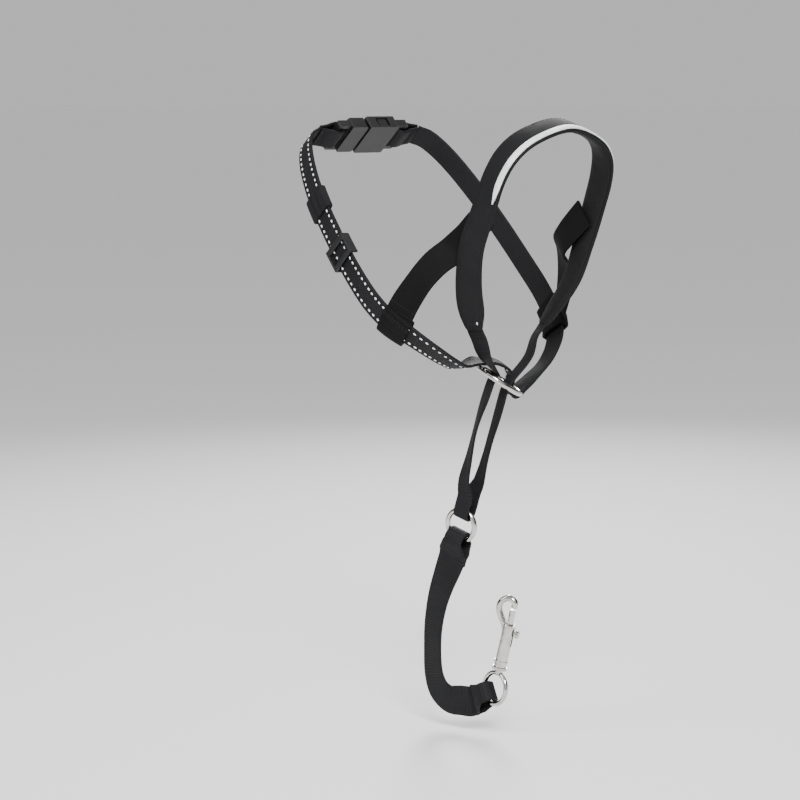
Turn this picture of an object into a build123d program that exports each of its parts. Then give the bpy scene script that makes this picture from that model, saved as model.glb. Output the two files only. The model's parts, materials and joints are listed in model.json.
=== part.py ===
from build123d import *
import os

# Head halter for a dog, in millimetres.
# Front (towards the nose) is -Y, the dog's right is -X, up is +Z.
# The origin is the middle of the nose loop.

os.makedirs("parts", exist_ok=True)

# ---- driving dimensions ----
BAND_W = 18.0          # padded noseband width
SHELL_T = 1.4          # noseband outer fabric
PAD_T = 2.6            # noseband padding
PAD_W = 16.4
BAND_END_W = 11.0      # noseband width at its two lower ends
PIPING_W = 4.2         # pale stripe on the noseband
PIPING_T = 0.8
PIPING_INSET = 3.0     # from the front edge to the middle of the stripe
PIPING_START = 0.27    # share of the noseband's length left bare at each end
NOSE_WEB_W = 10.0      # narrow webbing of the nose loop and the tails
NOSE_WEB_T = 1.5
TAIL_W = 8.0           # the same webbing where it passes a ring
CHEEK_W = 18.0         # stretch cheek strap
CHEEK_T = 2.0
NECK_W = 15.0          # neck webbing
NECK_T = 1.8
NECK_BUNCHED = 11.0     # width where it is pulled together in the slip ring
LINK_W = 18.0          # safety link webbing
LINK_T = 1.8
LINK_GATHERED = 12.0   # width where it passes the ring and the eye
SLIP_R = 14.2          # slip ring, wire centre radius
SLIP_WIRE = 1.5
LEAD_R = 9.3           # lead ring, wire centre radius
LEAD_WIRE = 1.5
EYE_R = 9.4            # eye of the snap, wire centre radius
EYE_WIRE = 1.4
STATIONS = 6           # cross-sections between two control points
LAYER_GAP = 0.15       # gap between sewn layers
STRAP_CUT = 0.3        # gap where the neck strap is told apart into its two lengths


# ---- ribbons: flat straps that follow a path in space ----
def blend_points(a, b, c, d, t):
    """Catmull-Rom value between b and c."""
    return (
        b * 2.0
        + (c - a) * t
        + (a * 2.0 - b * 5.0 + c * 4.0 - d) * (t * t)
        + (b * 3.0 - a - c * 3.0 + d) * (t * t * t)
    ) * 0.5


def smooth(values, count):
    """Smooth list of vectors through the given ones, count steps per span."""
    ends = [values[0] * 2.0 - values[1]] + list(values) + [values[-1] * 2.0 - values[-2]]
    out = []
    for i in range(len(values) - 1):
        for k in range(count):
            out.append(blend_points(*ends[i : i + 4], k / count))
    out.append(values[-1])
    return out


def path_frames(rows, count=STATIONS):
    """Rows of (x, y, z, wx, wy, wz): a point and the direction of the strap's width."""
    points = smooth([Vector(*r[:3]) for r in rows], count)
    widths = smooth([Vector(*r[3:6]).normalized() for r in rows], count)
    frames = []
    for i, point in enumerate(points):
        ahead = points[min(i + 1, len(points) - 1)]
        behind = points[max(i - 1, 0)]
        tangent = (ahead - behind).normalized()
        width = (widths[i] - tangent * widths[i].dot(tangent)).normalized()
        frames.append((point, tangent, width))
    return frames


def section(frame, width, thick, across, out):
    """Rectangle across the strap, shifted along its width and its outer normal."""
    point, tangent, w = frame
    normal = w.cross(tangent)
    plane = Plane(origin=point + w * across + normal * out, x_dir=w, z_dir=tangent)
    return plane * Rectangle(width, thick)


def ribbon(frames, width, thick, across=0.0, out=0.0):
    """Solid strap; width is one number, or one number per frame."""
    wide = width if isinstance(width, list) else [width] * len(frames)
    faces = [section(f, w, thick, across, out) for f, w in zip(frames, wide)]
    return loft(faces, ruled=True)


def save(name, solid):
    solids = solid.solids()
    shape = solids[0] if len(solids) == 1 else Compound(children=list(solids))
    shape.label = name
    export_step(shape, os.path.join("parts", name + ".step"))


def nearest(frames, x, y, z):
    """Number of the frame nearest a point."""
    goal = Vector(x, y, z)
    return min(range(len(frames)), key=lambda i: (frames[i][0] - goal).length)


def flip(row):
    """The same row on the other side of the head."""
    x, y, z, wx, wy, wz = row
    return (-x, y, z, -wx, wy, wz)


def taper_list(count, wide, narrow, ends):
    """Widths that narrow over the first and last few frames."""
    out = []
    for i in range(count):
        edge = min(i, count - 1 - i)
        share = min(1.0, edge / ends)
        share = share * share * (3.0 - 2.0 * share)
        out.append(narrow + (wide - narrow) * share)
    return out


# ---- slip ring under the chin ----
RING_C = Vector(1.5, 25.2, -75.4)
RING_N = Vector(0.42, -0.354, 0.83).normalized()
RING_A = Vector(0.861, -0.138, -0.494)
RING_A = (RING_A - RING_N * RING_A.dot(RING_N)).normalized()
RING_D = RING_N.cross(RING_A)
TAIL_TOP_RIGHT = (-7.5, -5.0)   # along and deep, where each tail stands in the ring
TAIL_TOP_LEFT = (1.5, -7.5)
WEBBING_GAP = 3.0               # how far above the ring the nose webbing ends


def ring_point(along, deep, high):
    """Point given in the slip ring's own directions."""
    return RING_C + RING_A * along + RING_D * deep + RING_N * high


def ring_row(along, deep, high, w):
    """Row of a path given in the slip ring's own directions."""
    p = ring_point(along, deep, high)
    return (p.X, p.Y, p.Z, w.X, w.Y, w.Z)


def torus_at(centre, normal, radius, wire):
    """Round ring of round wire."""
    return Plane(origin=centre, z_dir=normal) * Torus(radius, wire)


# ---- noseband, nose webbing and cheek straps ----
# Noseband from the top of the muzzle down its right side; width points forward.
NOSE_ROWS = [
    (0, -29, 71.0, 0, -0.93, -0.36),
    (-21.5, -27, 65.5, 0, -0.93, -0.36),
    (-34, -23.5, 56.5, 0, -0.93, -0.36),
    (-39.5, -18, 43.5, 0, -0.94, -0.34),
    (-40.8, -10.0, 24.5, 0.05, -0.95, -0.30),
    (-41.5, -1.0, 4, 0.12, -0.97, -0.20),
    (-38.5, 5.0, -16, 0.22, -0.96, -0.15),
    (-30.5, 12.0, -34, 0.34, -0.93, -0.10),
    (-25.5, 15.4, -43, 0.42, -0.90, -0.05),
]


def noseband_frames():
    rows = NOSE_ROWS[::-1] + [flip(r) for r in NOSE_ROWS[1:]]
    return path_frames(rows)


def make_noseband():
    frames = noseband_frames()
    n = len(frames)
    out_dir = PAD_T / 2.0 + LAYER_GAP + SHELL_T / 2.0
    shell = ribbon(frames, taper_list(n, BAND_W, BAND_END_W, 9), SHELL_T, out=out_dir)
    padding = ribbon(frames, taper_list(n, PAD_W, BAND_END_W - 0.5, 9), PAD_T)
    top = out_dir + SHELL_T / 2.0 + LAYER_GAP + PIPING_T / 2.0
    first = int(n * PIPING_START)
    stripe = frames[first : n - first]
    piping = ribbon(stripe, PIPING_W, PIPING_T, across=BAND_W / 2.0 - PIPING_INSET, out=top)
    return shell, padding, piping


# Nose webbing: from the end of the noseband to the slip ring, right and left.
WEBBING_START = [
    (-25.0, 15.7, -44.4, 0.42, -0.90, -0.05),
    (-20.8, 16.6, -52.0, 0.42, -0.90, -0.05),
]
WEBBING_RIGHT = (-15.8, 17.6, -61.2, 0.20, -0.96, -0.15)
WEBBING_LEFT = (14.0, 14.5, -62.5, -0.30, -0.95, -0.10)


def make_nose_webbing(rows, top):
    """Webbing through the rows to the top of its tail, slightly narrower at the ring."""
    frames = path_frames(rows + [ring_row(*top, WEBBING_GAP, -RING_D)])
    widths = []
    for i in range(len(frames)):
        share = max(0.0, (i / (len(frames) - 1) - 0.5) * 2.0)
        widths.append(NOSE_WEB_W + (TAIL_W - NOSE_WEB_W) * share)
    return ribbon(frames, widths, NOSE_WEB_T)


# Cheek strap: from inside the noseband back to the loop round the neck strap.
CHEEK_ROWS = [
    (-38.3, -6.5, 21.5, 0.06, -0.72, -0.68),
    (-38.6, 1.0, 15.5, 0.09, -0.72, -0.68),
    (-38.6, 9.0, 8.6, 0.18, -0.72, -0.68),
    (-41.0, 16.8, 2.0, 0.28, -0.75, -0.60),
    (-49.2, 22.0, -5.0, 0.22, -0.81, -0.55),
    (-55.8, 27.0, -14.0, 0.17, -0.87, -0.46),
    (-60.5, 31.5, -24.0, 0.12, -0.90, -0.40),
    (-62.9, 35.0, -32.6, 0.10, -0.92, -0.38),
]


def make_cheek_strap():
    frames = path_frames(CHEEK_ROWS)
    return ribbon(frames, CHEEK_W, CHEEK_T)


# ---- neck strap ----
# Right half, from the nape down to the jaw; the width points back and down.
NAPE = Vector(0, 146, 65)
NAPE_W = Vector(0, 0.757, -0.656).normalized()
NAPE_N = Vector(0, 0.656, 0.757).normalized()
NECK_SIDE = [
    (-38.6, 146.0, 65.0, 0, 0.757, -0.656),
    (-47.5, 142.5, 61.0, 0, 0.757, -0.656),
    (-55.5, 132.5, 49.5, 0, 0.757, -0.656),
    (-62.0, 116.0, 30.7, 0, 0.757, -0.656),
    (-65.5, 96.0, 9.0, 0, 0.757, -0.656),
    (-67.0, 77.0, -11.2, 0, 0.757, -0.656),
    (-66.5, 60.0, -28.0, 0, 0.78, -0.62),
    (-64.0, 46.0, -39.0, 0.05, 0.80, -0.59),
    (-58.5, 35.0, -47.0, 0.10, 0.84, -0.52),
    (-50.0, 27.5, -55.0, 0.16, 0.86, -0.46),
    (-38.0, 25.0, -62.5, 0.20, 0.90, -0.32),
    (-27.0, 26.5, -66.3, 0.24, 0.93, -0.12),
]
NECK_FAR = [
    (22.0, 28.4, -80.6, 0.05, 0.97, 0.10),
    (31.0, 29.0, -75.0, 0.0, 0.96, -0.15),
    (43.0, 30.0, -66.5, -0.05, 0.92, -0.35),
    (54.5, 35.0, -55.0, -0.10, 0.86, -0.48),
    (62.5, 45.0, -43.0, -0.05, 0.80, -0.59),
]


def neck_rows():
    through = [
        ring_row(-19.0, 2.5, 1.6, RING_D),
        ring_row(-12.5, 6.3, 3.9, RING_D),
        ring_row(-5.5, 6.1, 7.4, RING_D),
        ring_row(2.0, 4.6, 8.0, RING_D),
        ring_row(7.0, 3.2, 5.0, RING_D),
        ring_row(8.4, 2.4, 0.4, RING_D),
        ring_row(10.6, 2.4, -2.8, RING_D),
        ring_row(14.8, 2.8, -3.3, RING_D),
    ]
    left = [flip(r) for r in NECK_SIDE[6::-1]]
    return NECK_SIDE + through + NECK_FAR + left


def neck_frames():
    return path_frames(neck_rows(), 4)


def neck_widths(frames):
    """The webbing bunches up where it goes through the slip ring."""
    out = []
    for point, _, _ in frames:
        far = (point - RING_C).length
        share = min(1.0, max(0.0, (far - SLIP_R) / 16.0))
        out.append(NECK_BUNCHED + (NECK_W - NECK_BUNCHED) * share)
    return out


# ---- buckle at the nape ----
BUCKLE_SHIFT = -4.3    # the buckle's parting line, off the middle so both straps match
BUCKLE_W = 24.0
BUCKLE_T = 8.6
SOCKET_L = 22.0
BASE_L = 12.0
BAR_L = 9.0
BAR_T = 4.6
SLOT_L = 4.2
SLOT_IN = 3.4          # from the end of the block to the middle of the strap slot
BASE_GAP = 1.4         # between the socket's mouth and the base
WALL = 1.5
PRONG_Y = 6.6          # from the middle of the buckle to each prong


def nape_plane(x=0.0):
    origin = NAPE + Vector(x + BUCKLE_SHIFT, 0, 0)
    return Plane(origin=origin, x_dir=(1, 0, 0), z_dir=NAPE_N)


def nape_box(x, y, length, width, height):
    return nape_plane(x) * (Pos(0, y, 0) * Box(length, width, height))


def rounded_box(x, length, width, height, radius=1.4):
    """Box at the nape with its four upright edges rounded."""
    block = Box(length, width, height)
    return nape_plane(x) * fillet(block.edges().filter_by(Axis.Z), radius)


def make_buckle_female():
    """Socket with two side windows and a bar for the neck strap."""
    body = rounded_box(SOCKET_L / 2.0, SOCKET_L, BUCKLE_W, BUCKLE_T)
    body += rounded_box(SOCKET_L + BAR_L / 2.0 - 1.0, BAR_L + 2.0, BUCKLE_W - 2.0, BAR_T)
    hollow = BUCKLE_T - 2.0 * WALL
    body -= nape_box(SOCKET_L / 2.0 - 1.5, 0, SOCKET_L, BUCKLE_W - 2.0 * WALL - 1.0, hollow)
    body -= nape_box(11.0, 0, 9.0, BUCKLE_W + 2.0, hollow)
    body -= nape_box(SOCKET_L + SLOT_IN, 0, SLOT_L, NECK_W + 1.6, 10)
    return body


def make_buckle_male():
    """Base with a strap bar, a guide tongue and seats for the two prongs."""
    body = rounded_box(-BASE_GAP - BASE_L / 2.0, BASE_L, BUCKLE_W - 1.0, BUCKLE_T - 1.0)
    body += rounded_box(-BASE_GAP - BASE_L - BAR_L / 2.0 + 1.0, BAR_L + 2.0, BUCKLE_W - 2.0, BAR_T)
    body -= nape_box(-BASE_GAP - BASE_L - SLOT_IN, 0, SLOT_L, NECK_W + 1.6, 10)
    body += nape_box(5.0, 0, 16.0, 4.0, 3.6)
    for sign in (1, -1):
        body -= nape_box(-3.4, sign * PRONG_Y, 6.0, 4.0, 5.4)
    return body


def make_prong(sign):
    """Springy arm whose grip stands in the socket's side window."""
    arm = nape_box(2.2, sign * PRONG_Y, 16.4, 2.6, 4.6)
    tip = nape_box(10.9, sign * (PRONG_Y + 2.3), 6.6, 5.6, 4.6)
    return arm + tip


def bar_loop(slot_x, sign):
    """Rows of the strap folded round a buckle bar; slot_x is the middle of its slot."""
    steps = [
        (16.6, -1.0),
        (11.0, -2.0),
        (7.0, -3.2),
        (3.2, -3.8),
        (0.4, -2.3),
        (0.0, 0.0),
        (0.4, 2.3),
        (3.2, 3.8),
        (7.0, 3.2),
        (11.0, 2.0),
        (16.6, 1.0),
    ]
    rows = []
    for along, up in steps:
        p = NAPE + Vector(slot_x + BUCKLE_SHIFT + sign * along, 0, 0) + NAPE_N * up
        rows.append((p.X, p.Y, p.Z, NAPE_W.X, NAPE_W.Y, NAPE_W.Z))
    return rows


def make_bar_loop(slot_x, sign):
    return ribbon(path_frames(bar_loop(slot_x, sign), 3), NECK_W, NECK_T)


def make_strap_sleeve(frames, middle, count, wall, room):
    """Flat sleeve that follows the neck strap, such as its adjuster or its keeper."""
    wide = NECK_W + 1.2
    high = NECK_T + room
    outer = ribbon(frames[middle - count : middle + count + 1], wide + 2.0 * wall, high + 2.0 * wall)
    inner = ribbon(frames[middle - count - 1 : middle + count + 2], wide, high)
    return outer - inner


# ---- pull assembly: tails and lead ring ----
LEAD_C = Vector(0, 56.7, -164)
LEAD_UP = Vector(0, -0.35, 0.937).normalized()
LEAD_H = Vector(0.27, -0.963, 0.0)
LEAD_H = (LEAD_H - LEAD_UP * LEAD_H.dot(LEAD_UP)).normalized()
LEAD_N = LEAD_H.cross(LEAD_UP)
TAIL_LOOP_R = 4.3
LINK_LOOP_R = 5.6


def wrap_rows(wire, inward, side, w, steps):
    """Rows of a strap round a wire: inward points to the middle of the ring."""
    rows = []
    for along, across in steps:
        p = wire + inward * along + side * across
        rows.append((p.X, p.Y, p.Z, w.X, w.Y, w.Z))
    return rows


def make_tails():
    """One webbing: down the right tail, round the lead ring, up the left tail."""
    front = -RING_D
    right = [
        ring_row(*TAIL_TOP_RIGHT, 1.6, front),
        ring_row(-6.9, -5.0, -3.0, front),
        (-6.9, 27.0, -84.0, -0.36, -0.90, -0.25),
        (-5.6, 33.6, -94.5, -0.50, -0.83, -0.22),
        (-4.5, 39.6, -106.5, -0.58, -0.78, -0.22),
        (-4.2, 44.8, -122.0, -0.42, -0.86, -0.28),
        (-4.6, 49.0, -136.5, -0.10, -0.93, -0.34),
    ]
    left = [
        (5.0, 46.6, -137.5, -0.10, -0.93, -0.34),
        (5.0, 41.6, -124.5, -0.40, -0.88, -0.25),
        (4.8, 36.5, -111.5, -0.45, -0.86, -0.22),
        (3.6, 30.4, -100.0, -0.40, -0.88, -0.25),
        (1.7, 24.2, -89.6, -0.34, -0.91, -0.25),
        ring_row(2.4, -7.4, -3.0, front),
        ring_row(*TAIL_TOP_LEFT, 1.6, front),
    ]
    r = TAIL_LOOP_R
    steps = [
        (-11.5, r + 0.4),
        (-5.0, r + 0.2),
        (0.0, r),
        (r * 0.71, r * 0.71),
        (r, 0.0),
        (r * 0.71, -r * 0.71),
        (0.0, -r),
        (-5.0, -r - 0.2),
        (-11.5, -r - 0.4),
    ]
    wrap = wrap_rows(LEAD_C + LEAD_UP * LEAD_R, -LEAD_UP, LEAD_N, LEAD_H, steps)
    frames = path_frames(right + wrap + left, 4)
    n = len(frames)
    widths = taper_list(n, NOSE_WEB_W, TAIL_W, 12)
    return ribbon(frames, widths, NOSE_WEB_T)


# ---- safety link and its snap ----
EYE_C = Vector(12, 39.5, -260.8)
SNAP_UP = Vector(0.095, -0.215, 0.972).normalized()
EYE_IN = Vector(0.05, -0.86, 0.50).normalized()
EYE_N = EYE_IN.cross(SNAP_UP).normalized()
EYE_W = EYE_N.cross(EYE_IN).normalized()
SNAP_T = Vector(0.5, -0.866, 0)
SNAP_T = (SNAP_T - SNAP_UP * SNAP_T.dot(SNAP_UP)).normalized()
LINK_ROWS = [
    (-0.8, 71.5, -199.0, 0.08, -0.97, -0.20),
    (-0.4, 77.5, -212.0, -0.04, -0.98, -0.15),
    (-0.2, 81.5, -228.0, -0.12, -0.99, -0.05),
    (0.2, 82.6, -244.0, -0.14, -0.99, 0.0),
    (0.8, 82.0, -257.0, -0.08, -0.98, 0.20),
    (2.2, 78.6, -266.5, 0.0, -0.82, 0.57),
    (4.6, 72.0, -271.6, -0.02, -0.35, 0.93),
    (7.4, 64.2, -271.6, -0.04, 0.30, 0.95),
]


def loop_steps(reach):
    """Steps round a wire with both legs drawn together and sewn."""
    r = LINK_LOOP_R
    return [
        (-reach, 1.0),
        (-reach * 0.72, 1.2),
        (-r * 1.05, r * 0.62),
        (-r * 0.2, r * 0.98),
        (r * 0.62, r * 0.78),
        (r, 0.0),
        (r * 0.62, -r * 0.78),
        (-r * 0.2, -r * 0.98),
        (-r * 1.05, -r * 0.62),
        (-reach * 0.72, -1.2),
        (-reach, -1.0),
    ]


def link_frames():
    top = wrap_rows(LEAD_C - LEAD_UP * LEAD_R, LEAD_UP, LEAD_N, LEAD_H, loop_steps(15.0)[::-1])
    low = wrap_rows(EYE_C - EYE_IN * EYE_R, EYE_IN, EYE_N, EYE_W, loop_steps(12.5))
    return path_frames(top + LINK_ROWS + low, 3)


def link_widths(frames):
    """The webbing is gathered where it passes through the ring and the eye."""
    out = []
    wires = (LEAD_C - LEAD_UP * (LEAD_R - 4.0), EYE_C - EYE_IN * (EYE_R - 4.0))
    for point, _, _ in frames:
        near = min((point - wire).length for wire in wires)
        share = min(1.0, max(0.0, (near - 6.5) / 5.0))
        out.append(LINK_GATHERED + (LINK_W - LINK_GATHERED) * share)
    return out


def snap_plane(s):
    return Plane(origin=EYE_C + SNAP_UP * s, x_dir=SNAP_T, z_dir=SNAP_UP)


def rod(s0, s1, radius):
    """Round rod along the snap's own axis."""
    return snap_plane((s0 + s1) / 2.0) * Cylinder(radius, s1 - s0)


BARREL_R = 3.7
BORE_R = 2.1
BOLT_R = 1.9
BARREL_TOP = 40.0
BOLT_TIP = 49.2
BOLT_TRAVEL = 7.0
KNOB_S = 35.4


def make_snap_eye():
    """Round eye with a headed stem that turns in the snap's barrel."""
    eye = torus_at(EYE_C, EYE_N, EYE_R, EYE_WIRE)
    stem = rod(EYE_R, 11.7, 2.2) + rod(11.0, 14.6, 1.5) + rod(14.5, 15.8, 2.5)
    return eye + stem


def make_snap_body():
    """Barrel, swivel seat and curved hook."""
    barrel = rod(12.1, BARREL_TOP, BARREL_R)
    barrel += rod(12.1, 13.6, 4.6)
    barrel += rod(16.4, 17.6, 4.3)
    barrel += rod(BARREL_TOP - 1.6, BARREL_TOP, 4.2)
    plane = Plane(origin=EYE_C, x_dir=SNAP_T, z_dir=SNAP_T.cross(SNAP_UP))
    profile = [
        (-2.2, 36.0),
        (-4.4, 40.6),
        (-7.6, 45.4),
        (-8.7, 49.6),
        (-7.2, 53.4),
        (-3.6, 55.4),
        (-0.6, 54.4),
        (0.0, 50.6),
    ]
    points = [EYE_C + SNAP_T * t + SNAP_UP * s for t, s in profile]
    path = Spline(*points)
    start = Plane(origin=points[0], z_dir=path % 0)
    hook = sweep(start * Circle(1.9), path=path)
    body = barrel + hook
    body -= rod(18.2, 60.0, BORE_R) & rod(18.2, BARREL_TOP + 1.0, 8.0)
    body -= rod(11.0, 14.3, 1.6)
    body -= rod(14.2, 16.1, 2.6)
    slot = snap_plane((KNOB_S - BOLT_TRAVEL - 1.3 + KNOB_S + 1.3) / 2.0)
    body -= slot * (Pos(4.0, 0, 0) * Box(8.0, 2.4, BOLT_TRAVEL + 2.6))
    return body


def make_snap_bolt():
    """Sliding bolt with its thumb knob."""
    bolt = rod(27.0, BOLT_TIP, BOLT_R)
    knob_plane = Plane(origin=EYE_C + SNAP_UP * KNOB_S, z_dir=SNAP_T)
    bolt += knob_plane * (Pos(0, 0, 2.6) * Cylinder(0.95, 5.2))
    bolt += knob_plane * (Pos(0, 0, 5.8) * Cylinder(2.3, 1.8))
    return bolt


def make_snap_spring():
    wire = Helix(pitch=1.9, height=8.0, radius=1.45)
    coil = sweep(Plane(origin=wire @ 0, z_dir=wire % 0) * Circle(0.3), path=wire)
    return snap_plane(18.6) * coil


# ---- build ----
shell, padding, piping = make_noseband()
save("noseband_shell", shell)
save("noseband_padding", padding)
save("noseband_piping", piping)
save("nose_webbing_right", make_nose_webbing(WEBBING_START + [WEBBING_RIGHT], TAIL_TOP_RIGHT))
left_rows = [flip(r) for r in WEBBING_START] + [WEBBING_LEFT]
save("nose_webbing_left", make_nose_webbing(left_rows, TAIL_TOP_LEFT))

cheek = make_cheek_strap()
save("cheek_strap_right", cheek)
save("cheek_strap_left", mirror(cheek, about=Plane.YZ))

neck = neck_frames()
widths = neck_widths(neck)
split = nearest(neck, -67.0, 70.0, -18.5)
save("neck_strap_upper", ribbon(neck[: split + 1], widths[: split + 1], NECK_T))
point, tangent, width = neck[split]
lower = [(point + tangent * STRAP_CUT, tangent, width)] + neck[split + 1 :]
save("neck_strap", ribbon(lower, widths[split:], NECK_T))
save("neck_strap_end", make_bar_loop(-BASE_GAP - BASE_L - SLOT_IN, -1))
save("neck_strap_anchor", make_bar_loop(SOCKET_L + SLOT_IN, 1))
at_right = nearest(neck, -64.0, 42.0, -41.6)
at_left = nearest(neck, 64.0, 42.0, -41.6)
save("cheek_sleeve_right", make_strap_sleeve(neck, at_right, 2, 1.0, 0.8))
save("cheek_sleeve_left", make_strap_sleeve(neck, at_left, 2, 1.0, 0.8))
save("strap_slider", make_strap_sleeve(neck, nearest(neck, -66.5, 84.0, -3.8), 1, 1.4, 1.4))
save("strap_keeper", make_strap_sleeve(neck, nearest(neck, -62.5, 112.0, 26.5), 1, 0.9, 1.2))

save("buckle_female", make_buckle_female())
save("buckle_male", make_buckle_male())
save("buckle_prong_upper", make_prong(-1))
save("buckle_prong_lower", make_prong(1))

save("slip_ring", torus_at(RING_C, RING_N, SLIP_R, SLIP_WIRE))
save("pull_tails", make_tails())
save("lead_ring", torus_at(LEAD_C, LEAD_N, LEAD_R, LEAD_WIRE))

link = link_frames()
save("safety_link", ribbon(link, link_widths(link), LINK_T))
save("snap_eye", make_snap_eye())
save("snap_body", make_snap_body())
save("snap_bolt", make_snap_bolt())
save("snap_spring", make_snap_spring())
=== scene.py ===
import json
import math

import bpy
import numpy as np
from mathutils import Matrix, Vector


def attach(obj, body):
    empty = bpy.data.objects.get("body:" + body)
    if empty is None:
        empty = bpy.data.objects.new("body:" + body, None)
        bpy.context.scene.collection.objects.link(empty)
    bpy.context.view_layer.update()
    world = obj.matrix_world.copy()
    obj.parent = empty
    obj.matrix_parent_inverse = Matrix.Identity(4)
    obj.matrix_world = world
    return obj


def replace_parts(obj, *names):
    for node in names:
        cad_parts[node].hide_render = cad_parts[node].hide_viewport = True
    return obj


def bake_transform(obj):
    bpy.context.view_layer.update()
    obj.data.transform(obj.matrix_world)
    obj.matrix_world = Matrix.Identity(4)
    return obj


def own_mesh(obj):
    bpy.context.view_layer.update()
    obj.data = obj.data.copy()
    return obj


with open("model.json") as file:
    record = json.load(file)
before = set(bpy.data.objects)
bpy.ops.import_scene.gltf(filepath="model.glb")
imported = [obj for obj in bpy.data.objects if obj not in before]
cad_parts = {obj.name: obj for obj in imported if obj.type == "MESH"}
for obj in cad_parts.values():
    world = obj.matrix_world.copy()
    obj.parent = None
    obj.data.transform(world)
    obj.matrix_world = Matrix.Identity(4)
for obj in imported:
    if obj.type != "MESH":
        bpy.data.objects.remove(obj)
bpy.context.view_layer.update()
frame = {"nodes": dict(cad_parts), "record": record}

# ---- sizes, in metres ----
MM = 0.001
STEP = 0.42 * MM            # one mesh row along a strap
RIB_PITCH = 4.0 * STEP      # cross ribs of the webbing
RIB_DEPTH = 0.11 * MM
SHARP = math.radians(62)    # the corner edges of a strap are sharper than this
DOT_PITCH = 4.0 * MM        # reflective stitches woven into the neck strap
TACK_GAP = 1.1 * MM         # between the rows of a bar tack


# ---- reading the straps' lines from the frame ----
def node_points(node):
    """Corner points of a CAD node, one row each."""
    return np.array([tuple(v.co) for v in frame["nodes"][node].data.vertices])


def welded(node):
    """Points and faces of a CAD node, with the points at face borders joined."""
    obj = frame["nodes"][node]
    index, points, number = {}, [], []
    for vertex in obj.data.vertices:
        key = tuple(round(c * 2e5) for c in vertex.co)
        if key not in index:
            index[key] = len(points)
            points.append(vertex.co.copy())
        number.append(index[key])
    faces = []
    for polygon in obj.data.polygons:
        corners = [number[i] for i in polygon.vertices]
        if len(set(corners)) == 3:
            faces.append(corners)
    return points, faces


def edge_table(points, faces):
    """For each point its neighbours with the turn of the surface there, and the end caps."""
    sides = {}
    for corners in faces:
        a, b, c = (points[i] for i in corners)
        normal = (b - a).cross(c - a)
        if normal.length > 1e-13:
            for i, j in zip(corners, corners[1:] + corners[:1]):
                third = sum(corners) - i - j
                sides.setdefault((min(i, j), max(i, j)), []).append((normal, third))
    turns, near = {}, {}
    for (i, j), pair in sides.items():
        turn = pair[0][0].angle(pair[1][0]) if len(pair) == 2 else 0.0
        turns[(i, j)] = turn
        near.setdefault(i, {})[j] = turn
        near.setdefault(j, {})[i] = turn
    caps = []
    for (i, j), pair in sides.items():
        if turns[(i, j)] < 0.01 and len(pair) == 2:
            k, m = pair[0][1], pair[1][1]
            if min(near[x].get(y, 0.0) for x in (i, j) for y in (k, m)) > SHARP:
                caps.append([k, i, m, j])
    return near, caps


def follow(points, near, corner, heading):
    """Chain of points from a cap's corner, along the sharpest edge ahead."""
    chain = [corner]
    while True:
        here, ahead = points[chain[-1]], {}
        for k, turn in near[chain[-1]].items():
            if k not in chain and (points[k] - here).normalized().dot(heading) > 0.3:
                ahead[k] = turn
        if not ahead:
            return chain
        chain.append(max(ahead, key=ahead.get))
        heading = (points[chain[-1]] - here).normalized()


def cap_heading(points, near, cap):
    """Direction from an end cap into the strap."""
    normal = (points[cap[1]] - points[cap[0]]).cross(points[cap[3]] - points[cap[0]])
    beyond = [k for k in near[cap[0]] if k not in cap]
    probe = max(beyond, key=lambda k: near[cap[0]][k])
    way = points[probe] - points[cap[0]]
    return normal.normalized() if way.dot(normal) > 0 else -normal.normalized()


def corner_chains(node, start):
    """The four long corner edges in order round the strap, from the cap nearest start."""
    points, faces = welded(node)
    near, caps = edge_table(points, faces)
    caps.sort(key=lambda cap: (sum((points[i] for i in cap), Vector()) / 4.0 - start).length)
    first, last = caps[0], caps[-1]
    onward = [follow(points, near, c, cap_heading(points, near, first)) for c in first]
    back = {c: follow(points, near, c, cap_heading(points, near, last)) for c in last}
    whole = [c for c in range(4) if onward[c][-1] in last]
    count = len(onward[whole[0]])
    at = last.index(onward[whole[0]][-1])
    way = 1
    for c in whole[1:]:
        if (last.index(onward[c][-1]) - at) % 4 == (whole[0] - c) % 4 and (c - whole[0]) % 2:
            way = -1
    lines = []
    for c in range(4):
        line = [points[i] for i in onward[c]]
        if c not in whole:
            # A tight fold stops the chain, so the rest of it comes from the far end.
            rest = [points[i] for i in back[last[(at + way * (c - whole[0])) % 4]]][::-1]
            rest = rest[max(0, len(rest) + len(line) - count) :]
            gap = count - len(line) - len(rest)
            for k in range(gap):
                line.append(line[-1].lerp(rest[0], 1.0 / (gap + 1 - k)))
            line += rest
        lines.append(line)
    return lines


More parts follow.
